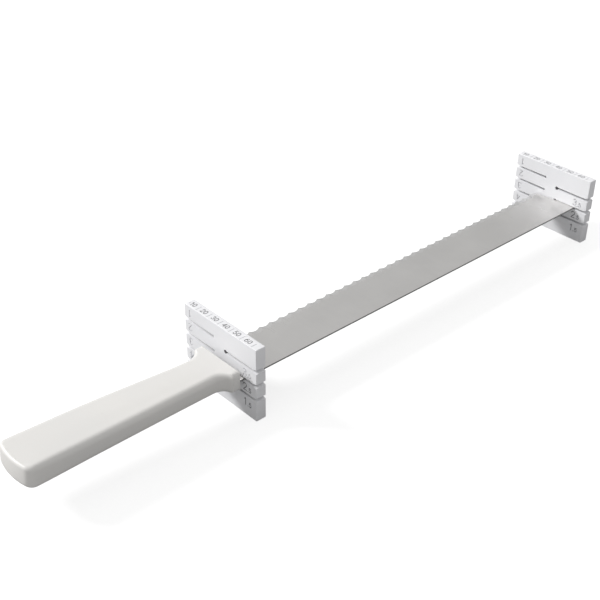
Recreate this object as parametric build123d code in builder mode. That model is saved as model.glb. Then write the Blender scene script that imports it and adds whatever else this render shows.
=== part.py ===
"""Cake leveler: a long wave-edged cake knife that is held level by two slotted guide plates.

The knife runs along X with its handle towards -X. It lies flat, its cutting edge towards +Y and its spine
towards -Y. A guide plate stands across each end of the blade on its foot. It is slotted from both sides,
so that the knife can be set to seven heights. Here it lies in the middle slot of the three that face -Y.
All lengths are in millimetres. The origin is on the table, under the middle of the tool's box.
"""

import os
from math import acos, cos, pi, radians, sin

from build123d import *

# Guide plates, two alike.
guide_width = 65.0
guide_height = 50.0
guide_thickness = 7.0
guide_corner_radius = 0.8
guide_rim_chamfer = 0.3

# Slots in a guide plate: one row from the spine side, one from the edge side, half a step apart.
slot_gap = 1.5
slot_step = 10.0
spine_side_slots = 3
edge_side_slots = 4
spine_side_slot_depth = 28.5
edge_side_slot_depth = 27.5
spine_side_relief = 2.4
edge_side_relief = 1.9
mouth_gap = 2.7
mouth_depth = 2.4
knife_slot = 1

# Blade.
blade_thickness = 1.2
blade_width = 35.2
cutting_length = 307.2
spine_inset = 10.5
neck_clearance = 0.3
heel_clearance = 0.9
heel_slope = 3.0
heel_radius = 3.0
tip_clearance = 0.4
tip_slope = 1.4
tip_radius = 2.4
tongue_overhang = 2.0
tongue_radius = 3.5

# Ground edge of the blade.
bevel_width = 8.5
bevel_drop = 0.5
wave_pitch = 8.1
wave_depth = 1.6
wave_grind_angle = 15.0
wave_end_land = 3.0

# Handle, moulded round the tang.
handle_length = 135.0
handle_spine_inset = 4.0
handle_rise = 1.0
butt_width = 31.6
neck_width = 25.0
bolster_flare = 5.4
bolster_gap = 4.0
butt_half_thickness = 7.4
neck_half_thickness = 6.6
flare_radius = 10.2
lip_length = 5.2
lip_edge_radius = 2.8
butt_length = 12.0
butt_bulge = 2.8
butt_corner_radius = 6.0
handle_edge_radius = 4.0
swell_power = 0.7
grip_steps = 14
flare_steps = 8

# Tang, the blade's narrow tail inside the handle.
tang_length = 104.0
tang_width = 13.0
tang_wall = 5.6
tang_cover = 3.2
tang_corner_radius = 3.0
tang_hole_diameter = 6.0
tang_hole_shares = 0.3, 0.72

# Cutting tools run past the surface that they cut by this much.
overrun = 2.0

# Places along X: the tool's box is centred on zero.
far_guide_run = bolster_gap + guide_thickness + heel_clearance + cutting_length + tip_clearance
tongue_run = far_guide_run + guide_thickness + tongue_overhang
bolster_x = (handle_length - tongue_run) / 2
butt_x = bolster_x - handle_length
near_guide_x = bolster_x + bolster_gap
heel_x = near_guide_x + guide_thickness + heel_clearance
tip_x = heel_x + cutting_length
far_guide_x = tip_x + tip_clearance
tongue_end_x = bolster_x + tongue_run
tang_root_x = bolster_x - tang_cover
tang_end_x = tang_root_x - tang_length

# Places along Y.
spine_y = spine_inset - guide_width / 2
edge_y = spine_y + blade_width
neck_edge_y = spine_side_slot_depth - guide_width / 2 - neck_clearance
handle_spine_y = spine_y + handle_spine_inset
tang_spine_y = handle_spine_y + tang_wall
tang_edge_y = tang_spine_y + tang_width

# Places along Z.
blade_z = guide_height / 2 + (knife_slot - (spine_side_slots - 1) / 2) * slot_step
blade_bottom_z = blade_z - blade_thickness / 2
blade_top_z = blade_z + blade_thickness / 2
handle_z = blade_z + handle_rise

os.makedirs("parts", exist_ok=True)

# Blade: one strip of steel with a tang behind, a neck for the near guide and a tongue for the far one.
with BuildPart() as blade:
    with BuildSketch(Plane.XY.offset(blade_bottom_z)) as blade_plan:
        with BuildLine():
            Polyline(
                (tang_end_x, tang_spine_y),
                (tang_root_x, tang_spine_y),
                (tang_root_x, spine_y),
                (tongue_end_x, spine_y),
                (tongue_end_x, neck_edge_y),
                (tip_x, neck_edge_y),
                (tip_x - tip_slope, edge_y),
                (heel_x + heel_slope, edge_y),
                (heel_x, neck_edge_y),
                (tang_root_x, neck_edge_y),
                (tang_root_x, tang_edge_y),
                (tang_end_x, tang_edge_y),
                close=True,
            )
        make_face()
        fillet(blade_plan.vertices().sort_by(Axis.X)[:2], tang_corner_radius)
        fillet(blade_plan.vertices().sort_by(Axis.X)[-2:], tongue_radius)
        fillet(blade_plan.vertices().group_by(Axis.Y)[-1].sort_by(Axis.X)[0], heel_radius)
        fillet(blade_plan.vertices().group_by(Axis.Y)[-1].sort_by(Axis.X)[-1], tip_radius)
    extrude(amount=blade_thickness)

    # Holes in the tang, which the handle's plastic flows through.
    with BuildSketch(Plane.XY.offset(blade_bottom_z)):
        for share in tang_hole_shares:
            with Locations((tang_root_x - share * tang_length, (tang_spine_y + tang_edge_y) / 2)):
                Circle(tang_hole_diameter / 2)
    extrude(amount=blade_thickness, mode=Mode.SUBTRACT)

    # Long flat bevel on the upper face, down to the cutting edge.
    bevel_end_y = edge_y + overrun
    bevel_end_z = blade_top_z - bevel_drop / bevel_width * (bevel_width + overrun)
    with BuildSketch(Plane.YZ.offset(near_guide_x)):
        with BuildLine():
            Polyline(
                (edge_y - bevel_width, blade_top_z),
                (bevel_end_y, bevel_end_z),
                (bevel_end_y, blade_top_z),
                close=True,
            )
        make_face()
    extrude(amount=far_guide_x - near_guide_x, mode=Mode.SUBTRACT)

    # Wave edge: hollow flutes, ground side by side at a low angle, that leave a row of points.
    # The flutes run down to the blade's flat underside, so that the edge is sharp all along.
    flute_rise = wave_depth * sin(radians(wave_grind_angle))
    edge_start_x = heel_x + heel_slope
    edge_length = cutting_length - heel_slope - tip_slope
    wave_count = int((edge_length - 2 * wave_end_land) / wave_pitch)
    waves_length = wave_count * wave_pitch
    land = (edge_length - waves_length) / 2 + heel_slope
    grind = Plane(
        origin=(edge_start_x + (edge_length - waves_length) / 2, edge_y - wave_depth, blade_bottom_z),
        x_dir=(1, 0, 0),
        z_dir=Vector(0, 0, 1).rotate(Axis.X, 90 - wave_grind_angle),
    )
    with BuildSketch(grind):
        with BuildLine():
            for i in range(wave_count):
                ThreePointArc(
                    (i * wave_pitch, flute_rise),
                    ((i + 1 / 2) * wave_pitch, 0),
                    ((i + 1) * wave_pitch, flute_rise),
                )
            Polyline(
                (waves_length, flute_rise),
                (waves_length + land, flute_rise),
                (waves_length + land, blade_thickness + overrun),
                (-land, blade_thickness + overrun),
                (-land, flute_rise),
                (0, flute_rise),
            )
        make_face()
    extrude(amount=bevel_width, both=True, mode=Mode.SUBTRACT)
blade.part.label = "blade"
export_step(blade.part, "parts/blade.step")

# Handle: a flat grip that swells towards the butt, and flares out in front to guard the hand.
with BuildPart() as handle:
    flare_turn = acos(1 - bolster_flare / flare_radius)
    flare_start_x = bolster_x - lip_length - flare_radius * sin(flare_turn)
    butt_side_y = handle_spine_y + butt_width
    grip_end_x = butt_x + butt_length

    # Butt: a bulged end with round corners.
    with BuildSketch(Plane.XY.offset(handle_z - butt_half_thickness)) as butt_plan:
        with BuildLine():
            butt_arc = ThreePointArc(
                (butt_x + butt_bulge, handle_spine_y),
                (butt_x, (handle_spine_y + butt_side_y) / 2),
                (butt_x + butt_bulge, butt_side_y),
            )
            Polyline(
                butt_arc @ 1,
                (grip_end_x, butt_side_y),
                (grip_end_x, handle_spine_y),
                butt_arc @ 0,
            )
        make_face()
        fillet(butt_plan.vertices().sort_by(Axis.X)[:2], butt_corner_radius)
    extrude(amount=2 * butt_half_thickness)
    butt_edges = handle.faces().filter_by(Axis.Z).edges().sort_by(Axis.X)
    fillet(butt_edges[:-2], handle_edge_radius)

    # Grip: its spine side runs straight, and its other side swells in a soft wave from neck to butt.
    for step in range(grip_steps + 1):
        run_share = step / grip_steps
        swell_share = (1 - cos(pi * run_share**swell_power)) / 2
        width = neck_width + swell_share * (butt_width - neck_width)
        half_thickness = neck_half_thickness + run_share**2 * (butt_half_thickness - neck_half_thickness)
        with BuildSketch(Plane.YZ.offset(flare_start_x + run_share * (grip_end_x - flare_start_x))):
            with Locations((handle_spine_y + width / 2, handle_z)):
                RectangleRounded(width, 2 * half_thickness, handle_edge_radius)
    loft(ruled=True)

    # Bolster: both sides flare out in a hollow arc, whose long edges grow sharper, and end in flat lips.
    neck_middle = handle_spine_y + neck_width / 2, handle_z
    for step in range(flare_steps + 1):
        flare_share = step / flare_steps
        step_turn = flare_share * flare_turn
        width = neck_width + 2 * flare_radius * (1 - cos(step_turn))
        edge_radius = handle_edge_radius + flare_share**3 * (lip_edge_radius - handle_edge_radius)
        with BuildSketch(Plane.YZ.offset(flare_start_x + flare_radius * sin(step_turn))):
            with Locations(neck_middle):
                RectangleRounded(width, 2 * neck_half_thickness, edge_radius)
    loft(ruled=True)
    with BuildSketch(Plane.YZ.offset(bolster_x - lip_length)):
        with Locations(neck_middle):
            RectangleRounded(neck_width + 2 * bolster_flare, 2 * neck_half_thickness, lip_edge_radius)
    extrude(amount=lip_length)

    # The plastic is moulded round the tang and through its holes, so the blade's own shape is taken out.
    add(blade.part, mode=Mode.SUBTRACT)
handle.part.label = "handle"
export_step(handle.part, "parts/handle.step")

# Guide plates: the knife lies in a slot of each, its neck in the near one and its tongue in the far one.
for guide_name, guide_x in (("near_guide", near_guide_x), ("far_guide", far_guide_x)):
    with BuildPart() as guide:
        with BuildSketch(Plane.YZ.offset(guide_x)) as plate_face:
            with Locations((0, guide_height / 2)):
                Rectangle(guide_width, guide_height)
            fillet(plate_face.vertices(), guide_corner_radius)
        extrude(amount=guide_thickness)
        front_face, back_face = guide.faces().filter_by(Axis.X).sort_by(Axis.X)
        chamfer(front_face.edges() + back_face.edges(), guide_rim_chamfer)

        # Each slot has a funnel mouth and a round relief at its inner end.
        with BuildSketch(Plane.YZ.offset(guide_x)):
            for side, slot_count, slot_depth, relief in (
                (-1, spine_side_slots, spine_side_slot_depth, spine_side_relief),
                (1, edge_side_slots, edge_side_slot_depth, edge_side_relief),
            ):
                mouth_y = side * guide_width / 2
                inner_y = mouth_y - side * slot_depth
                for row in range(slot_count):
                    slot_z = guide_height / 2 + (row - (slot_count - 1) / 2) * slot_step
                    with Locations(((mouth_y + side * overrun + inner_y + side * relief / 2) / 2, slot_z)):
                        Rectangle(slot_depth + overrun - relief / 2, slot_gap)
                    with Locations((inner_y + side * relief / 2, slot_z)):
                        Circle(relief / 2)
                    with BuildLine():
                        Polyline(
                            (mouth_y - side * mouth_depth, slot_z - slot_gap / 2),
                            (mouth_y, slot_z - mouth_gap / 2),
                            (mouth_y + side * overrun, slot_z - mouth_gap / 2),
                            (mouth_y + side * overrun, slot_z + mouth_gap / 2),
                            (mouth_y, slot_z + mouth_gap / 2),
                            (mouth_y - side * mouth_depth, slot_z + slot_gap / 2),
                            close=True,
                        )
                    make_face()
        extrude(amount=guide_thickness, mode=Mode.SUBTRACT)
    guide.part.label = guide_name
    export_step(guide.part, f"parts/{guide_name}.step")
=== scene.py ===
import bmesh
import bpy
import numpy as np
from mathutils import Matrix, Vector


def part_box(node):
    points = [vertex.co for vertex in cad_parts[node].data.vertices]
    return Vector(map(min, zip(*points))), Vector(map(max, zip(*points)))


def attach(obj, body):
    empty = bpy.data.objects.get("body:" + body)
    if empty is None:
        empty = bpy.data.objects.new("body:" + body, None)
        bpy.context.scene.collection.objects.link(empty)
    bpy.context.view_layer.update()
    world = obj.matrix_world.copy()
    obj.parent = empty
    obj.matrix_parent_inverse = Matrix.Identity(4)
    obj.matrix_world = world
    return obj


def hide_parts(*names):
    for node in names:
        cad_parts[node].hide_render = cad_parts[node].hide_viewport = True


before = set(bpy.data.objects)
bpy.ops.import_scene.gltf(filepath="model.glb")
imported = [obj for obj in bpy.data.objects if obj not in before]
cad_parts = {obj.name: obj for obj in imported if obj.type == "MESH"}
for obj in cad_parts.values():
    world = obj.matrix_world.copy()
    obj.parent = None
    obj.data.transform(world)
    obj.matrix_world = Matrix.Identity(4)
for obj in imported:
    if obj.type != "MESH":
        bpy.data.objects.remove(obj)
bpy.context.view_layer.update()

# Guide plates. Each is a slab of white plastic that stands on its foot across the blade, moulded with slots
# from both sides and with rims only just broken. Its numbers and ruler stand proud in the mould, so they are
# sunk in the plate; their grooves and the walls of the slots and relief holes are painted darker, as painted
# shade. Lengths are in millimetres until a mesh is made.
plate_width, plate_height, plate_thickness = 65.0, 50.0, 7.0
near_plate_x, far_plate_x = (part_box(f"{side}_guide")[0][0] * 1000 for side in ("near", "far"))
slot_gap, mouth_gap, mouth_depth = 1.5, 2.7, 2.4
edge_slot_depth, edge_relief_radius, edge_slot_heights = 27.5, 0.95, (10, 20, 30, 40)
spine_slot_depth, spine_relief_radius, spine_slot_heights = 28.5, 1.2, (35, 25, 15)
corner_radius, outer_rim, slot_rim, face_ring = 0.5, 0.3, 0.12, 0.06


def arc(centre, radius, start, end, steps):
    """Points of an arc: the centre plus the radius times the cosine and the sine of evenly spaced
    angles."""
    turn = np.radians(np.linspace(start, end, steps + 1))
    return np.asarray(centre) + radius * np.column_stack([np.cos(turn), np.sin(turn)])


def slot_path(depth, relief_radius):
    """One slot as the outline meets it on the +Y side, going up: in along the lower wall, round the relief
    hole at the inner end, and out along the upper wall. The mouth narrows in a straight line from its own
    gap to the slot's."""
    side = plate_width / 2
    lower = np.array([[side, -mouth_gap / 2], [side - mouth_depth, -slot_gap / 2]])
    wall_turn = np.degrees(np.arcsin(slot_gap / 2 / relief_radius))
    relief = arc((side - depth + relief_radius, 0), relief_radius, -wall_turn, wall_turn - 360, 16)
    return np.vstack([lower, relief, lower[::-1] * (1, -1)])


def plate_outline():
    """The plate seen along X, anticlockwise in Y and Z: round corners, four slots on the +Y side and three
    on the other, which are the same path turned half round. The second array is how far the rim is rounded
    at each point."""
    side, low, high = plate_width / 2, corner_radius, plate_height - corner_radius
    edge_path = slot_path(edge_slot_depth, edge_relief_radius)
    spine_path = slot_path(spine_slot_depth, spine_relief_radius)
    edge_slots = [(0, height) + edge_path for height in edge_slot_heights]
    spine_slots = [(0, height) - spine_path for height in spine_slot_heights]
    bottom_edge, top_edge, top_spine, bottom_spine = (
        arc((way * (side - corner_radius), height), corner_radius, start, start + 90, 5)
        for way, height, start in ((1, low, -90), (1, high, 0), (-1, high, 90), (-1, low, 180))
    )
    points = np.vstack([bottom_edge, *edge_slots, top_edge, top_spine, *spine_slots, bottom_spine])
    inside = np.clip((side - np.abs(points[:, 0])) / mouth_depth, 0, 1)
    return points, outer_rim + (slot_rim - outer_rim) * inside


def moved_inwards(outline):
    """At each point of a closed anticlockwise outline, the vector that moves both sides that meet there
    inwards by one: the sum of their inward normals over one plus their dot product."""
    step = np.roll(outline, -1, axis=0) - outline
    step /= np.linalg.norm(step, axis=1, keepdims=True)
    inward = np.column_stack([-step[:, 1], step[:, 0]])
    before = np.roll(inward, 1, axis=0)
    return (inward + before) / (1 + np.sum(inward * before, axis=1, keepdims=True))


def ring_faces(rows, columns):
    """Four-sided faces of a grid of points whose columns close into a ring."""
    here = np.arange(rows * columns).reshape(rows, columns)
    following = np.roll(here, -1, axis=1)
    return np.stack([here[:-1], following[:-1], following[1:], here[1:]], axis=-1).reshape(-1, 4).tolist()


def plate_surface():
    """The outline carried along a rim profile. Over the quarter turn of each rim the outline moves inwards
    by the rim radius times one minus the sine, and sinks by the radius times one minus the cosine. One more
    ring inside each face keeps the flat of it flat. The last array is each face's material: 0 for the skin,
    1 for a slot's wall, painted a little darker as painted shade, and 2 for the wall of a relief hole on the
    spine side, past the depth where the hole is wider than the slot, painted dark as painted shade."""
    outline, rim = plate_outline()
    mitre = moved_inwards(outline)
    turn = np.radians(np.linspace(0, 90, 5))
    inset = np.concatenate([[1.0], 1 - np.sin(turn)])[:, None] * rim
    inset[0] += face_ring
    sunk = np.concatenate([[0.0], 1 - np.cos(turn)])[:, None] * rim
    inset, depth = np.vstack([inset, inset[::-1]]), np.vstack([sunk, plate_thickness - sunk[::-1]])
    flat = outline[None] + mitre[None] * inset[:, :, None]
    points = np.concatenate([depth[:, :, None], flat], axis=2)
    rows, columns = depth.shape
    first, last = list(range(columns)), list(range((rows - 1) * columns, rows * columns))
    way_in = plate_width / 2 - np.abs(outline[:, 0])
    # Masks for painted shade: the walls of the slots and of the spine side's relief holes get darker
    # plastics.
    in_slot = way_in > mouth_depth / 2
    in_hole = (way_in > spine_slot_depth - 1.7 * spine_relief_radius) & (outline[:, 0] < 0)
    between_rims = slice(2, -2)
    finish_or_shade = np.zeros((rows - 1, columns), int)
    finish_or_shade[between_rims] = (in_slot & np.roll(in_slot, -1)) + (in_hole & np.roll(in_hole, -1)).astype(int)
    return points.reshape(-1, 3), ring_faces(rows, columns) + [first, last], np.append(finish_or_shade.ravel(), [0, 0])


def shaped(name, points, faces, crease=30.0, finish_or_shade=0):
    """A piece from points in millimetres: doubles are joined, the faces are turned outwards and shaded
    smooth, and an edge sharper than the crease angle stays sharp. The finish or shade is the number of each
    face's material; some of these materials are painted shade."""
    mesh = bpy.data.meshes.new(name)
    mesh.from_pydata((np.asarray(points) * 0.001).tolist(), [], faces)
    mesh.polygons.foreach_set("material_index", np.array(np.broadcast_to(finish_or_shade, len(faces)), np.int32))
    made = bmesh.new()
    made.from_mesh(mesh)
    bmesh.ops.remove_doubles(made, verts=made.verts, dist=1e-6)
    bmesh.ops.dissolve_degenerate(made, edges=made.edges, dist=1e-7)
    bmesh.ops.recalc_face_normals(made, faces=made.faces)
    made.to_mesh(mesh)
    made.free()
    mesh.polygons.foreach_set("use_smooth", np.ones(len(mesh.polygons), bool))
    mesh.set_sharp_from_angle(angle=np.radians(crease))
    piece = bpy.data.objects.new(name, mesh)
    bpy.context.scene.collection.objects.link(piece)
    return piece


def oval(x, y, width, height, start, end, steps=14):
    """Points of part of an oval, from one angle to another."""
    turn = np.radians(np.linspace(start, end, steps + 1))
    return np.column_stack([x + width / 2 * np.cos(turn), y + height / 2 * np.sin(turn)])


# Single-line figures, one unit high, as an engraver's pantograph follows them.
figure_strokes = {
    "0": [oval(0.31, 0.5, 0.58, 1, 90, 450, 22)],
    "1": [[(0.3, 0), (0.3, 1)], [(0.3, 1), (0.08, 0.8)]],
    "2": [np.vstack([oval(0.31, 0.71, 0.56, 0.58, 168, -30), [(0.03, 0)]]), [(0.03, 0), (0.6, 0)]],
    "3": [oval(0.3, 0.76, 0.5, 0.48, 155, -90), oval(0.3, 0.27, 0.58, 0.54, 90, -155)],
    "4": [[(0.46, 0), (0.46, 1)], [(0.46, 1), (0, 0.3)], [(0, 0.3), (0.64, 0.3)]],
    "5": [[(0.56, 1), (0.13, 1), (0.08, 0.54)], oval(0.3, 0.32, 0.6, 0.64, 138, -150)],
    "6": [oval(0.66, 0.33, 1.28, 1.34, 108, 180), oval(0.32, 0.3, 0.6, 0.6, 180, 540, 20)],
    ".": [[(0.06, 0.02), (0.14, 0.02)]],
}


def graver_pass(path, width, depth, lift=0.25, floor=0.3):
    """The solid that one pass of a tapered graver takes out of a face, in the face's own right, up and out.
    The profile, wide above the face and narrow at the floor, is carried along the path. Past each end it
    shrinks over half a width as the square root of one minus the square of the way, so the stroke ends
    round."""
    path = np.asarray(path, float)
    along = np.diff(path, axis=0)
    along /= np.linalg.norm(along, axis=1, keepdims=True)
    way = np.array([0.99, 0.86, 0.5])
    left = np.column_stack([-along[:, 1], along[:, 0]])
    before, after = np.vstack([left[:1], left]), np.vstack([left, left[-1:]])
    mitre = (before + after) / (1 + np.sum(before * after, axis=1, keepdims=True))
    head = path[0] - along[0] * width / 2 * way[:, None]
    tail = path[-1] + along[-1] * width / 2 * way[::-1, None]
    stations = np.vstack([head, path, tail])
    mitre = np.vstack([mitre[:1].repeat(3, 0), mitre, mitre[-1:].repeat(3, 0)])
    shrink = np.sqrt(1 - way**2)
    share = np.concatenate([shrink, np.ones(len(path)), shrink[::-1]])[:, None]
    spread = width / 2 * (1 + (1 - floor) * lift / depth)
    across = np.array([spread, width / 2 * floor, -width / 2 * floor, -spread]) * share
    up = np.array([lift, -depth, -depth, lift]) * np.where([True, False, False, True], 1, share)
    flat = stations[:, None] + mitre[:, None] * across[:, :, None]
    points = np.concatenate([flat, up[:, :, None]], axis=2).reshape(-1, 3)
    last = 4 * (len(stations) - 1)
    return points, ring_faces(len(stations), 4) + [[0, 1, 2, 3], [last, last + 1, last + 2, last + 3]]


def figures_cut(text, height, width, depth, centre, right, up, out, spacing=0.24):
    """The graver's passes for a short row of figures, centred on a point of the face. The height is the
    figures' own, and the width and depth are the stroke's."""
    narrow, usual_width = {"1": 0.46, ".": 0.2}, 0.62
    starts = np.cumsum([0] + [narrow.get(figure, usual_width) + spacing for figure in text])
    passes = []
    for figure, start in zip(text, starts):
        for stroke in figure_strokes[figure]:
            path = (np.asarray(stroke, float) + (start - (starts[-1] - spacing) / 2, -0.5)) * height
            passes.append(on_face(graver_pass(path, width, depth), centre, right, up, out))
    return passes


def on_face(solid, centre, right, up, out):
    """Puts a graver's pass on a face: the centre plus its right, up and out parts."""
    points, faces = solid
    return np.asarray(centre) + points @ np.array([right, up, out], float), faces


def joined(solids):
    """Several sets of points and faces as one set."""
    starts = np.cumsum([0] + [len(points) for points, faces in solids])
    moved = [[n + start for n in face] for (points, faces), start in zip(solids, starts) for face in faces]
    return np.vstack([points for points, faces in solids]), moved


# On the face towards the handle: whole numbers for the slots from one side, upside down, because the plate
# is turned over to use them, and halves for the slots from the other side.
upright, turned_over = ((0, -1, 0), (0, 0, 1), (-1, 0, 0)), ((0, 1, 0), (0, 0, -1), (-1, 0, 0))
whole_y, whole_size, whole_heights = 27.6, (4.6, 0.6, 0.4), (45, 35, 25, 15)
half_y, half_size, half_heights = -22.3, (4.8, 0.66, 0.5), (30, 20, 9.4)
tenth_y, tenth_size, tenth_drop = -26.0, (2.9, 0.55, 0.45), 0.95
pale_shade_passes, deep_shade_passes = [], []
for number, height in zip("1234", whole_heights):
    pale_shade_passes += figures_cut(number, *whole_size, (0, whole_y, height), *turned_over)
# The grooves get painted shade: the whole numbers and the 3.5 mark lightly, and the 2.5 and 1.5 marks, which
# lie in the handle's shadow, deeply.
for number, height, passes in zip("321", half_heights, (pale_shade_passes, deep_shade_passes, deep_shade_passes)):
    passes += figures_cut(number, *half_size, (0, half_y, height), *upright)
    passes += figures_cut(".5", *tenth_size, (0, tenth_y, height - tenth_drop), *upright)

# On the top: a ruler with a line every 10 mm, its reading beside the line, and a dot at its beginning.
top_face = (0, -1, 0), (1, 0, 0), (0, 0, 1)
line_pass = graver_pass([(0, 0.45), (0, 5.0)], width=0.36, depth=0.3)
dot_y, dot_pass = 30.6, graver_pass([(0, 2.6), (0, 2.7)], width=0.5, depth=0.4)
reading_x, reading_shift, reading_size = 3.2, 5.1, (3.1, 0.52, 0.5)
# The ruler's lines get light painted shade, and its readings and dot deep painted shade.
for reading in (10, 20, 30, 40, 50, 60):
    y = plate_width / 2 - reading
    pale_shade_passes.append(on_face(line_pass, (0, y, plate_height), *top_face))
    reading_centre = (reading_x, y + reading_shift, plate_height)
    deep_shade_passes += figures_cut(str(reading), *reading_size, reading_centre, *top_face)
deep_shade_passes.append(on_face(dot_pass, (0, dot_y, plate_height), *top_face))


def add_node(tree, kind, **settings):
    """A shader node with its settings; a setting named in_ and a socket's number or name is that socket's
    value."""
    made = tree.nodes.new("ShaderNode" + kind)
    for name, value in settings.items():
        if name.startswith("in_"):
            socket = name[3:].replace("_", " ")
            made.inputs[int(socket) if socket.isdigit() else socket].default_value = value
        else:
            setattr(made, name, value)
    return made


def node_group(name, inputs, outputs):
    """An empty shader node group with named number sockets, and its two end nodes."""
    group = bpy.data.node_groups.new(name, "ShaderNodeTree")
    group.interface.new_socket("Place", in_out="INPUT", socket_type="NodeSocketVector")
    for label, value in inputs:
        group.interface.new_socket(label, in_out="INPUT", socket_type="NodeSocketFloat").default_value = value
    for label in outputs:
        group.interface.new_socket(label, in_out="OUTPUT", socket_type="NodeSocketFloat")
    return group, group.nodes.new("NodeGroupInput"), group.nodes.new("NodeGroupOutput")


def moulded_skin_group():
    """Skin of moulded plastic: a fine grain left by the mould, and wide soft clouds where the melt
    flowed."""
    group, ends, out = node_group("moulded_skin", [("Grain", 1400.0), ("Flow", 28.0)], ["Height", "Clouds"])
    grain = add_node(group, "TexNoise", in_Detail=3.0, in_Roughness=0.6)
    flow = add_node(group, "TexNoise", in_Detail=2.0, in_Roughness=0.5)
    for texture, scale in ((grain, "Grain"), (flow, "Flow")):
        group.links.new(ends.outputs["Place"], texture.inputs["Vector"])
        group.links.new(ends.outputs[scale], texture.inputs["Scale"])
    group.links.new(grain.outputs[0], out.inputs["Height"])
    group.links.new(flow.outputs[0], out.inputs["Clouds"])
    return group


def handling_scuffs_group():
    """Hairline scuffs from use and washing: two sets of long thin noise streaks at an angle, kept only
    where they peak, and only inside soft patches."""
    group, ends, out = node_group("handling_scuffs", [("Fineness", 900.0), ("Amount", 0.5)], ["Scuffs"])
    peaks = []
    for turn in (0.5, -0.9):
        turned = add_node(group, "Mapping", in_Rotation=(0.3, 0.2, turn), in_Scale=(1.0, 0.035, 0.035))
        streak = add_node(group, "TexNoise", in_Detail=2.0, in_Roughness=0.7)
        peak = add_node(group, "MapRange", in_1=0.66, in_2=0.8)
        group.links.new(ends.outputs["Place"], turned.inputs["Vector"])
        group.links.new(turned.outputs[0], streak.inputs["Vector"])
        group.links.new(ends.outputs["Fineness"], streak.inputs["Scale"])
        group.links.new(streak.outputs[0], peak.inputs[0])
        peaks.append(peak)
    both = add_node(group, "Math", operation="MAXIMUM")
    patch = add_node(group, "TexNoise", in_Scale=45.0, in_Detail=1.0)
    worn = add_node(group, "MapRange", in_1=0.45, in_2=0.62)
    masked = add_node(group, "Math", operation="MULTIPLY")
    scaled = add_node(group, "Math", operation="MULTIPLY")
    group.links.new(ends.outputs["Place"], patch.inputs["Vector"])
    group.links.new(patch.outputs[0], worn.inputs[0])
    group.links.new(peaks[0].outputs[0], both.inputs[0])
    group.links.new(peaks[1].outputs[0], both.inputs[1])
    group.links.new(both.outputs[0], masked.inputs[0])
    group.links.new(worn.outputs[0], masked.inputs[1])
    group.links.new(masked.outputs[0], scaled.inputs[0])
    group.links.new(ends.outputs["Amount"], scaled.inputs[1])
    group.links.new(scaled.outputs[0], out.inputs["Scuffs"])
    return group


moulded_skin, handling_scuffs = moulded_skin_group(), handling_scuffs_group()


def white_plastic(name, light, shade, roughness, specular, grain_bump, scuff_amount, scuff_tint=0.12):
    """Moulded plastic: the melt's clouds drift the colour from light to shade and the gloss a little, the
    mould's grain lifts the skin, and scuffs dull it and tint it."""
    material = bpy.data.materials.new(name)
    material.use_nodes = True
    tree = material.node_tree
    skin = tree.nodes["Principled BSDF"]
    skin.inputs["Specular IOR Level"].default_value = specular
    place = add_node(tree, "TexCoord")
    moulded = add_node(tree, "Group", node_tree=moulded_skin)
    scuffs = add_node(tree, "Group", node_tree=handling_scuffs, in_Amount=scuff_amount)
    clouds = add_node(tree, "MapRange", in_1=0.35, in_2=0.65)
    colour = add_node(tree, "Mix", data_type="RGBA", in_6=(*light, 1), in_7=(*shade, 1))
    scuffed = add_node(tree, "Mix", data_type="RGBA", in_7=(*(c * 0.8 for c in shade), 1))
    tint = add_node(tree, "Math", operation="MULTIPLY", in_1=scuff_tint)
    gloss = add_node(tree, "MapRange", in_3=roughness - 0.03, in_4=roughness + 0.04)
    dulled = add_node(tree, "Math", operation="MULTIPLY_ADD", in_1=0.25)
    grain = add_node(tree, "Bump", in_Strength=grain_bump, in_Distance=0.00005)
    scratch = add_node(tree, "Bump", invert=True, in_Strength=0.3, in_Distance=0.00003)
    for start, socket, end, target in (
        (place, "Object", moulded, "Place"), (place, "Object", scuffs, "Place"),
        (moulded, "Clouds", clouds, 0), (clouds, 0, colour, 0), (colour, 2, scuffed, 6),
        (scuffs, 0, tint, 0), (tint, 0, scuffed, 0), (scuffed, 2, skin, "Base Color"),
        (clouds, 0, gloss, 0), (scuffs, 0, dulled, 0), (gloss, 0, dulled, 2), (dulled, 0, skin, "Roughness"),
        (moulded, "Height", grain, "Height"), (scuffs, 0, scratch, "Height"), (grain, 0, scratch, "Normal"),
        (scratch, 0, skin, "Normal"),
    ):
        tree.links.new(start.outputs[socket], end.inputs[target])
    return material


plate_plastic = white_plastic(
    "plate_plastic", (0.80, 0.80, 0.815), (0.775, 0.775, 0.795),
    roughness=0.42, specular=0.45, grain_bump=0.25, scuff_amount=0.4,
)
# Slot walls: painted shade, a little darker than the face, for the shade inside the narrow slots.
slot_shade_plastic = white_plastic(
    "slot_shade_plastic", (0.72, 0.72, 0.735), (0.68, 0.68, 0.695),
    roughness=0.6, specular=0.3, grain_bump=0.5, scuff_amount=0.2,
)
# Relief-hole walls on the spine side: dark painted shade, for the deep holes that lie in shade.
hole_shade_plastic = white_plastic(
    "hole_shade_plastic", (0.32, 0.32, 0.33), (0.26, 0.26, 0.27),
    roughness=0.7, specular=0.2, grain_bump=0.5, scuff_amount=0.2,
)
# Figure grooves: painted shade, pale for figures that catch the light, deep for those in shadow and for the
# ruler's readings.
figure_pale_shade_plastic = white_plastic(
    "figure_pale_shade_plastic", (0.62, 0.62, 0.64), (0.57, 0.57, 0.59),
    roughness=0.6, specular=0.3, grain_bump=0.4, scuff_amount=0.2,
)
figure_deep_shade_plastic = white_plastic(
    "figure_deep_shade_plastic", (0.34, 0.34, 0.35), (0.3, 0.3, 0.31),
    roughness=0.6, specular=0.3, grain_bump=0.4, scuff_amount=0.2,
)


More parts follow.
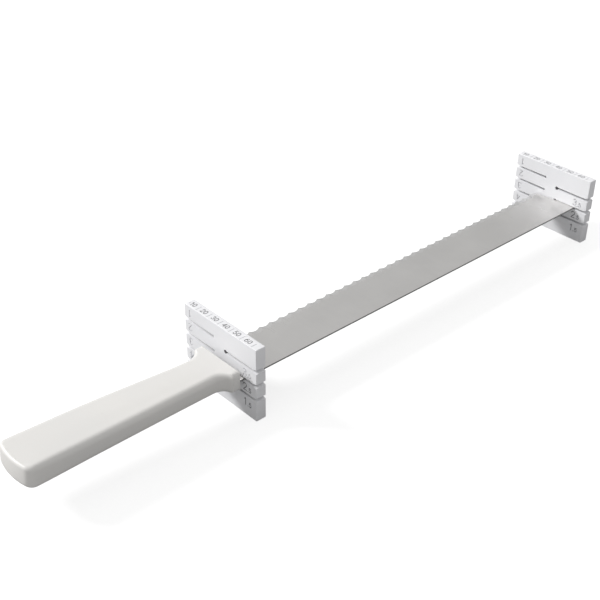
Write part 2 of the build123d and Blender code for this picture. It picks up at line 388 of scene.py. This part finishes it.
def cut_away(piece, cutter):
    """Takes the cutter's solids out of a piece and keeps the result as the piece's own mesh."""
    cut = piece.modifiers.new("sunk_figures", "BOOLEAN")
    cut.object, cut.operation, cut.solver = cutter, "DIFFERENCE", "EXACT"
    cut.use_self, cut.material_mode = True, "TRANSFER"
    mesh = bpy.data.meshes.new_from_object(piece.evaluated_get(bpy.context.evaluated_depsgraph_get()))
    piece.modifiers.clear()
    piece.data = mesh
    bpy.data.objects.remove(cutter)
    mesh.polygons.foreach_set("use_smooth", np.ones(len(mesh.polygons), bool))
    mesh.set_sharp_from_angle(angle=np.radians(30))


for side, plate_x in (("near", near_plate_x), ("far", far_plate_x)):
    points, faces, finish_or_shade = plate_surface()
    plate = shaped(f"{side}_plate", points + (plate_x, 0, 0), faces, finish_or_shade=finish_or_shade)
    for plastic in (plate_plastic, slot_shade_plastic, hole_shade_plastic):
        plate.data.materials.append(plastic)
    points, faces = joined(pale_shade_passes + deep_shade_passes)
    in_deep_shade = np.arange(len(faces)) >= len(joined(pale_shade_passes)[1])
    graver = shaped("graver_passes", points + (plate_x, 0, 0), faces, finish_or_shade=in_deep_shade)
    for plastic in (figure_pale_shade_plastic, figure_deep_shade_plastic):
        graver.data.materials.append(plastic)
    cut_away(plate, graver)
    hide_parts(f"{side}_guide")
    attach(plate, f"{side}_guide")

# Blade. One strip of stainless steel: a tang in the handle, a neck in the near plate, the cutting part and a
# tongue in the far plate. It is satin-ground across its length. A flat bevel runs down to the edge, and a
# row of hollow flutes, ground through it side by side, leaves the edge wavy.
blade_bottom, blade_top, spine_y, edge_y, neck_y = 24.4, 25.6, -22.0, 13.2, -4.3
heel_x, tip_x, tongue_end_x, tang_end_x, tang_root_x = -84.85, 222.35, 231.75, -203.95, -99.95
tang_spine_y, tang_edge_y, tang_radius, tang_root_run = -12.4, 0.6, 3.0, 0.4
heel_run, heel_radius, tip_run, tip_radius, tongue_radius = 3.0, 3.0, 1.4, 2.4, 3.5
bevel_y, bevel_slope, edge_ease = 4.7, 0.5 / 8.5, 0.1
wave_pitch, wave_depth, wave_count, wave_angle = 8.1, 1.6, 36, np.radians(15)
wave_rise = wave_depth * np.sin(wave_angle)


def followed(start, heading, moves):
    """A path from a start point and a heading. Each move is its length, its turn in degrees and its steps;
    the heading turns evenly along it, and each step goes forward along the chord of its own small arc."""
    points, here = [np.asarray(start, float)[None]], np.asarray(start, float)
    for length, turn, steps in moves:
        step_turn = np.radians(turn) / steps
        chord = length / steps if turn == 0 else 2 * length / np.radians(turn) * np.sin(step_turn / 2)
        angle = np.radians(heading) + step_turn * (np.arange(steps) + 0.5)
        run = here + chord * np.cumsum(np.column_stack([np.cos(angle), np.sin(angle)]), axis=0)
        points.append(run)
        here, heading = run[-1], heading + turn
    return np.vstack(points)


def rounded_corner(corner, arrive, leave, radius, steps=8):
    """An arc that rounds a corner of a path between two headings in degrees. It starts where the tangent,
    the radius times the tangent of half the turn, leaves the corner."""
    turn = (leave - arrive + 180) % 360 - 180
    back = radius * np.tan(np.radians(abs(turn)) / 2)
    start = np.asarray(corner) - back * np.array([np.cos(np.radians(arrive)), np.sin(np.radians(arrive))])
    return followed(start, arrive, [(np.radians(abs(turn)) * radius, turn, steps)])


def blade_columns():
    """Columns of the blade from tang to tongue: X, the spine's Y, the plan's outer Y and the height of the
    flutes' arc. In each flute the arc's height is the rise times the square of the way from its middle,
    near enough a circle of 22 mm."""
    heel_turn = np.degrees(np.arctan2(edge_y - neck_y, heel_run))
    tip_turn = np.degrees(np.arctan2(edge_y - neck_y, tip_run))
    end = np.radians(np.linspace(0, 90, 7))
    along, in_by = tang_radius * (1 - np.cos(end)), tang_radius * (1 - np.sin(end))
    tang = np.column_stack([tang_end_x + along, tang_spine_y + in_by, tang_edge_y - in_by])
    root = np.array([
        [tang_root_x - tang_root_run, tang_spine_y, tang_edge_y],
        [tang_root_x, spine_y, neck_y],
        [heel_x - heel_run, spine_y, neck_y],
        [heel_x, spine_y, neck_y],
    ])
    heel = rounded_corner((heel_x + heel_run, edge_y), heel_turn, 0, heel_radius)
    tip = rounded_corner((tip_x - tip_run, edge_y), 0, -tip_turn, tip_radius)
    spare = tip_x - heel_x - heel_run - tip_run - wave_count * wave_pitch
    first = heel_x + heel_run + spare / 2
    waves = first + wave_pitch * np.linspace(0, wave_count, 14 * wave_count + 1)
    along, in_by = tongue_radius * (1 - np.sin(end)), tongue_radius * (1 - np.cos(end))
    tongue_end = np.column_stack([tongue_end_x - along, spine_y + in_by, neck_y - in_by])
    edge = np.vstack([heel, np.column_stack([waves, np.full(len(waves), edge_y)]), tip, [[tip_x, neck_y]]])
    x = np.concatenate([tang[:, 0], root[:, 0], edge[:, 0], tongue_end[:, 0]])
    spine = np.concatenate([tang[:, 1], root[:, 1], np.full(len(edge), spine_y), tongue_end[:, 1]])
    outer = np.concatenate([tang[:, 2], root[:, 2], edge[:, 1], tongue_end[:, 2]])
    way = np.where((x >= first) & (x <= waves[-1]), ((x - first) / wave_pitch + 1e-9) % 1 * 2 - 1, 1)
    return x, spine, outer, wave_rise * way**2


def blade_surface():
    """A closed section carried along X. Its top height at X and Y is the least of three surfaces: the flat,
    the bevel, which falls away evenly from its own line, and the flutes, which rise from the flat underside
    at the grinding angle, back from the edge. The edge lies wave depth times one minus the arc's share
    inside the plan. The last array is each face's material: 0 for the flat and the bevel, 1 for the flutes
    and 2 for the spine, whose narrow side is painted dark as painted shade."""
    x, spine, outer, arc_height = blade_columns()
    ground = edge_y - wave_depth + arc_height / np.sin(wave_angle)
    edge = np.minimum(outer, ground)
    slope = np.tan(wave_angle)
    crest = (slope * ground - (blade_top - blade_bottom) - bevel_slope * bevel_y) / (slope - bevel_slope)
    eased = spine + edge_ease
    bevel_start = np.minimum(bevel_y, edge)
    flute_start = np.clip(crest, bevel_start, edge)
    share = np.linspace(0, 1, 4)
    y = np.stack(
        [eased, spine, spine, eased]
        + [eased + (bevel_start - eased) * s for s in share[1:]]
        + [bevel_start + (flute_start - bevel_start) * s for s in share[1:]]
        + [flute_start + (edge - flute_start) * s for s in share[1:]]
        + [edge]
    )
    low = np.full(len(x), blade_bottom)
    bevelled = blade_top - bevel_slope * np.maximum(y - bevel_y, 0)
    top = np.minimum(bevelled, blade_bottom + slope * (ground - y))
    z = np.minimum(np.maximum(top, blade_bottom), blade_top)
    z[0], z[1], z[2], z[-1] = low, low + edge_ease, blade_top - edge_ease, low
    points = np.stack([np.broadcast_to(x[:, None], y.T.shape), y.T, z.T], axis=-1)
    rows, columns = len(x), len(y)
    first, last = list(range(columns)), list(range((rows - 1) * columns, rows * columns))
    in_flutes, at_spine = slice(9, 12), slice(0, 2)
    finish_or_shade = np.zeros((rows - 1, columns), int)
    finish_or_shade[:, in_flutes] = 1
    finish_or_shade[:, at_spine] = 2
    return points.reshape(-1, 3), ring_faces(rows, columns) + [first, last], np.append(finish_or_shade.ravel(), [0, 0])


def ground_steel(name, colour, roughness, line_bump, lines_per_metre):
    """Stainless steel with the lines of a grinding belt across the blade: noise drawn out along Y. Wide
    soft clouds of noise vary the gloss and leave a thin dim film, as wiping does."""
    material = bpy.data.materials.new(name)
    material.use_nodes = True
    tree = material.node_tree
    steel = tree.nodes["Principled BSDF"]
    steel.inputs["Metallic"].default_value = 1.0
    place = add_node(tree, "TexCoord")
    drawn = add_node(tree, "Mapping", in_Scale=(1.0, 0.02, 0.2))
    lines = add_node(tree, "TexNoise", in_Scale=lines_per_metre, in_Detail=4.0, in_Roughness=0.65)
    wiped = add_node(tree, "TexNoise", in_Scale=22.0, in_Detail=3.0, in_Roughness=0.55)
    scuffs = add_node(tree, "Group", node_tree=handling_scuffs, in_Fineness=1300.0, in_Amount=0.35)
    tone = add_node(tree, "Mix", data_type="RGBA", in_6=(*(c * 0.92 for c in colour), 1), in_7=(*colour, 1))
    film = add_node(tree, "MapRange", in_1=0.35, in_2=0.65, in_4=0.25)
    dimmed = add_node(tree, "Mix", data_type="RGBA", in_7=(*(c * 0.62 for c in colour), 1))
    line_gloss = add_node(tree, "MapRange", in_1=0.3, in_2=0.7, in_3=-0.05, in_4=0.05)
    gloss = add_node(tree, "MapRange", in_1=0.3, in_2=0.7, in_3=roughness - 0.05, in_4=roughness + 0.05)
    both = add_node(tree, "Math", operation="ADD")
    dulled = add_node(tree, "Math", operation="MULTIPLY_ADD", in_1=0.15)
    bump = add_node(tree, "Bump", in_Strength=line_bump, in_Distance=0.00002)
    for start, socket, end, target in (
        (place, "Object", drawn, 0), (drawn, 0, lines, 0), (place, "Object", wiped, 0),
        (place, "Object", scuffs, "Place"), (lines, 0, tone, 0), (wiped, 0, film, 0), (film, 0, dimmed, 0),
        (tone, 2, dimmed, 6), (dimmed, 2, steel, "Base Color"), (lines, 0, line_gloss, 0),
        (wiped, 0, gloss, 0), (line_gloss, 0, both, 0), (gloss, 0, both, 1), (scuffs, 0, dulled, 0),
        (both, 0, dulled, 2),
        (dulled, 0, steel, "Roughness"), (lines, 0, bump, "Height"), (bump, 0, steel, "Normal"),
    ):
        tree.links.new(start.outputs[socket], end.inputs[target])
    return material


points, faces, finish_or_shade = blade_surface()
blade = shaped("ground_blade", points, faces, crease=8.0, finish_or_shade=finish_or_shade)
for name, colour, roughness, line_bump, lines_per_metre in (
    ("satin_steel", (0.77, 0.76, 0.745), 0.35, 0.3, 1800.0),
    ("fluted_steel", (0.84, 0.835, 0.825), 0.24, 0.2, 2600.0),
    # The spine's narrow side is painted dark, as painted shade.
    ("spine_shade_steel", (0.36, 0.355, 0.35), 0.5, 0.5, 1200.0),
):
    blade.data.materials.append(ground_steel(name, colour, roughness, line_bump, lines_per_metre))
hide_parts("blade")
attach(blade, "knife")

# Handle. One piece of warm white plastic, moulded round the tang. Its flat grip swells towards the butt,
# and both its sides flare out in front, in a hollow arc, to flat lips that keep the hand off the plate. The
# long edges are well rounded, and grow sharper towards the lips and round the butt.
handle_spine_y, grip_z = -18.0, 26.0
butt_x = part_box("handle")[0][0] * 1000
grip_end_x, flare_start_x, bolster_x = -219.75, -110.95, -96.75
butt_width, neck_width, lip_rise, butt_bulge = 31.6, 25.0, 5.4, 2.8
butt_half_thickness, neck_half_thickness = 7.4, 6.6
butt_corner, flare_radius, lip_corner, front_corner = 6.0, 10.2, 0.3, 0.6
long_rim, lip_rim, front_rim, butt_rims, butt_lean = 4.0, 2.8, 0.8, (1.9, 4.6), 1.0
swell_power, crown_height, butt_fade, lip_fade = 0.7, 0.22, 40.0, 24.0

# Steps of the handle's plan, the places along it where its stretches end, and the two places between which
# the butt's rims pass into the long ones.
butt_steps, corner_steps, side_steps, flare_steps, lip_steps, front_steps = 8, 14, 40, 20, 6, 7
side_end = butt_steps + corner_steps + side_steps
flare_end = side_end + flare_steps
lip_start, lip_end, front_start = flare_end + lip_steps, flare_end + 2 * lip_steps, flare_end + 3 * lip_steps
butt_rim_start, butt_rim_end = 10, 27


def handle_half():
    """The handle's plan on its spine side, from the middle of the butt to the middle of the front: the
    bulged butt, its round corner, the straight side, the hollow flare, the lip and the front. Each is an
    arc or a straight run."""
    bulge = (butt_width**2 / 4 + butt_bulge**2) / (2 * butt_bulge)
    butt_turn = np.degrees(np.arcsin((butt_width / 2 - butt_corner) / (bulge - butt_corner)))
    corner_x = butt_x + bulge - (bulge - butt_corner) * np.cos(np.radians(butt_turn))
    flare_turn = np.degrees(np.arccos(1 - lip_rise / (flare_radius + lip_corner)))
    lip_x = flare_start_x + (flare_radius + lip_corner) * np.sin(np.radians(flare_turn))
    return followed((butt_x, handle_spine_y + butt_width / 2), -90, [
        (np.radians(butt_turn) * bulge, butt_turn, butt_steps),
        (np.radians(90 - butt_turn) * butt_corner, 90 - butt_turn, corner_steps),
        (flare_start_x - corner_x, 0, side_steps),
        (np.radians(flare_turn) * flare_radius, -flare_turn, flare_steps),
        (np.radians(flare_turn) * lip_corner, flare_turn, lip_steps),
        (bolster_x - front_corner - lip_x, 0, lip_steps),
        (np.radians(90) * front_corner, 90, lip_steps),
        (neck_width / 2 + lip_rise - front_corner, 0, front_steps),
    ])


def handle_ring(spine_half, width, half_thickness, crown, butt_rim, inset, drop):
    """The plan's closed ring at one place of the rim's quarter turn. A point moves inwards by its own rim
    radius times the inset and sinks by that radius times the drop: along the plan's normal round the grip,
    and straight across along the flares and lips. The rim's radius is the long sides' own, and runs evenly
    to the butt's round its corner and by the cube of the way along the flare to the lip's, which meets the
    front's rim in a mitre."""
    order = np.arange(len(spine_half))
    edge_half = np.column_stack([spine_half[:, 0], 2 * handle_spine_y + width - spine_half[:, 1]])
    ring = np.vstack([spine_half, edge_half[-2:0:-1]])
    place = np.concatenate([order, order[-2:0:-1]])
    side = np.where(np.arange(len(ring)) < len(order), 1, -1)
    inward = np.where(place[:, None] > side_end, np.column_stack([0 * side, side]), moved_inwards(ring))
    at_butt = np.interp(place, [butt_rim_start, butt_rim_end], [1, 0])
    at_lip = np.clip((place - side_end) / flare_steps, 0, 1) ** 3
    rim = long_rim - (long_rim - butt_rim) * at_butt - (long_rim - lip_rim) * at_lip
    middle, reach = handle_spine_y + neck_width / 2, neck_width / 2 + lip_rise
    moved = ring + inward * (rim * inset)[:, None]
    front_share = (reach - max(lip_rim * inset, front_corner)) / (reach - front_corner)
    straight = middle + (ring[:, 1] - middle) * front_share
    mitred = np.clip(ring[:, 1], middle - reach + lip_rim * inset, middle + reach - lip_rim * inset)
    moved[:, 1] = np.where(place > front_start, straight, np.where(place > lip_start, mitred, moved[:, 1]))
    moved[:, 0] = np.minimum(moved[:, 0], bolster_x - front_rim * inset)
    rim -= (lip_rim - front_rim) * np.clip((place - lip_end) / lip_steps, 0, 1)
    return np.column_stack([moved, (half_thickness - crown)[place] - rim * drop])


def handle_surface():
    """The rings of the upper rim and the lower rim make the wall. Its width swells from neck to butt as
    half of one minus the cosine. The caps are ruled across from ring to ring, and their crown rises by the
    square of one minus the square of the way across. The butt's end leans in evenly from its lower rim
    up."""
    spine_half = handle_half()
    x = spine_half[:, 0]
    run = np.clip((x - flare_start_x) / (grip_end_x - flare_start_x), 0, 1)
    width = neck_width + (1 - np.cos(np.pi * run**swell_power)) / 2 * (butt_width - neck_width)
    half_thickness = neck_half_thickness + (butt_half_thickness - neck_half_thickness) * run**2
    fade = np.clip((x - butt_x) / butt_fade, 0, 1) * np.clip((bolster_x - front_rim - x) / lip_fade, 0, 1)
    crown = crown_height * fade**2 * (3 - 2 * fade)
    turn = np.radians(np.linspace(0, 90, 10))
    upper, lower = (
        np.array([
            handle_ring(spine_half, width, half_thickness, crown, butt_rim, 1 - np.sin(t), 1 - np.cos(t))
            for t in turn
        ])
        for butt_rim in butt_rims
    )
    wall = np.concatenate([upper, lower[::-1] * (1, 1, -1)]) + (0, 0, grip_z)
    above_lower_rim = wall[:, :, 2] - wall[:, :, 2].min() - butt_rims[1]
    rise = np.clip(above_lower_rim / (2 * butt_half_thickness - butt_rims[1]), 0, 1)
    wall[:, :, 0] += butt_lean * rise * np.clip((grip_end_x - wall[:, :, 0]) / (grip_end_x - butt_x), 0, 1)
    rows, columns = wall.shape[:2]
    solids = [(wall.reshape(-1, 3), ring_faces(rows, columns))]
    long_count, across_count = front_start + 1, 15
    across = np.linspace(0, 1, across_count)[None, :, None]
    for ring, sign in ((wall[0], 1), (wall[-1], -1)):
        one, other = ring[:long_count, None], ring[-np.arange(long_count)][:, None]
        cap = one + (other - one) * across
        cap[:, :, 2] += sign * crown[:long_count, None] * (1 - (2 * across[:, :, 0] - 1) ** 2) ** 2
        here = np.arange(long_count * across_count).reshape(long_count, across_count)
        quads = np.stack([here[:-1, :-1], here[1:, :-1], here[1:, 1:], here[:-1, 1:]], axis=-1).reshape(-1, 4)
        solids.append((cap.reshape(-1, 3), quads.tolist()))
    return joined(solids)


handle = shaped("handle_moulding", *handle_surface(), crease=35.0)
handle_plastic = white_plastic(
    "handle_plastic", (0.70, 0.687, 0.665), (0.685, 0.674, 0.655),
    roughness=0.42, specular=0.42, grain_bump=0.12, scuff_amount=0.5, scuff_tint=0.06,
)
handle.data.materials.append(handle_plastic)
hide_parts("handle")
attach(handle, "knife")

# Table and light: a plain white table without an edge in view, soft light all round, and one broad lamp
# from the left and behind that draws the shadows.
table_corners = [(-3000, -3000, 0), (3000, -3000, 0), (3000, 3000, 0), (-3000, 3000, 0)]
table = shaped("table", table_corners, [[0, 1, 2, 3]])
table_white = bpy.data.materials.new("table_white")
table_white.use_nodes = True
tree = table_white.node_tree
surface = tree.nodes["Principled BSDF"]
surface.inputs["Base Color"].default_value = (0.35, 0.35, 0.35, 1)
surface.inputs["Roughness"].default_value = 0.9
seen = add_node(tree, "LightPath")
glow = add_node(tree, "Math", operation="MULTIPLY", in_1=0.75)
surface.inputs["Emission Color"].default_value = (1, 1, 1, 1)
tree.links.new(seen.outputs["Is Camera Ray"], glow.inputs[0])
tree.links.new(glow.outputs[0], surface.inputs["Emission Strength"])
table.data.materials.append(table_white)

lamp = bpy.data.objects.new("lamp", bpy.data.lights.new("lamp", "SUN"))
lamp.data.energy, lamp.data.angle = 2.89, np.radians(15)
lamp.rotation_euler = (np.radians(-42.8), np.radians(-38.9), 0)
bpy.context.scene.collection.objects.link(lamp)

room = bpy.data.worlds.new("studio")
room.use_nodes = True
tree = room.node_tree
way_out = tree.nodes["Background"]
way_out.inputs["Color"].default_value = (1, 1, 1, 1)
place = add_node(tree, "TexCoord")
towards = add_node(tree, "VectorMath", operation="DOT_PRODUCT", in_1=(-0.5, 0.6, 0.62))
bright = add_node(tree, "MapRange", in_1=-1.0, in_2=1.0, in_3=0.52, in_4=0.68)
seen = add_node(tree, "LightPath")
strength = add_node(tree, "Mix", data_type="FLOAT", in_3=1.05)
for start, socket, end, target in (
    (place, "Generated", towards, 0), (towards, 1, bright, 0), (seen, "Is Camera Ray", strength, 0),
    (bright, 0, strength, 2), (strength, 0, way_out, "Strength"),
):
    tree.links.new(start.outputs[socket], end.inputs[target])
bpy.context.scene.world = room
bpy.context.scene.view_settings.view_transform = "Standard"

# Camera at the photograph's angle, from behind the handle on the spine side.
camera = bpy.data.objects.new("camera", bpy.data.cameras.new("camera"))
camera.data.lens, camera.data.sensor_width, camera.data.sensor_fit = 64.73, 36.0, "HORIZONTAL"
camera.location = (-0.4045, -0.4046, 0.3962)
camera.rotation_euler = np.radians((57.221, -0.685, -42.336))
bpy.context.scene.collection.objects.link(camera)
bpy.context.scene.camera = camera
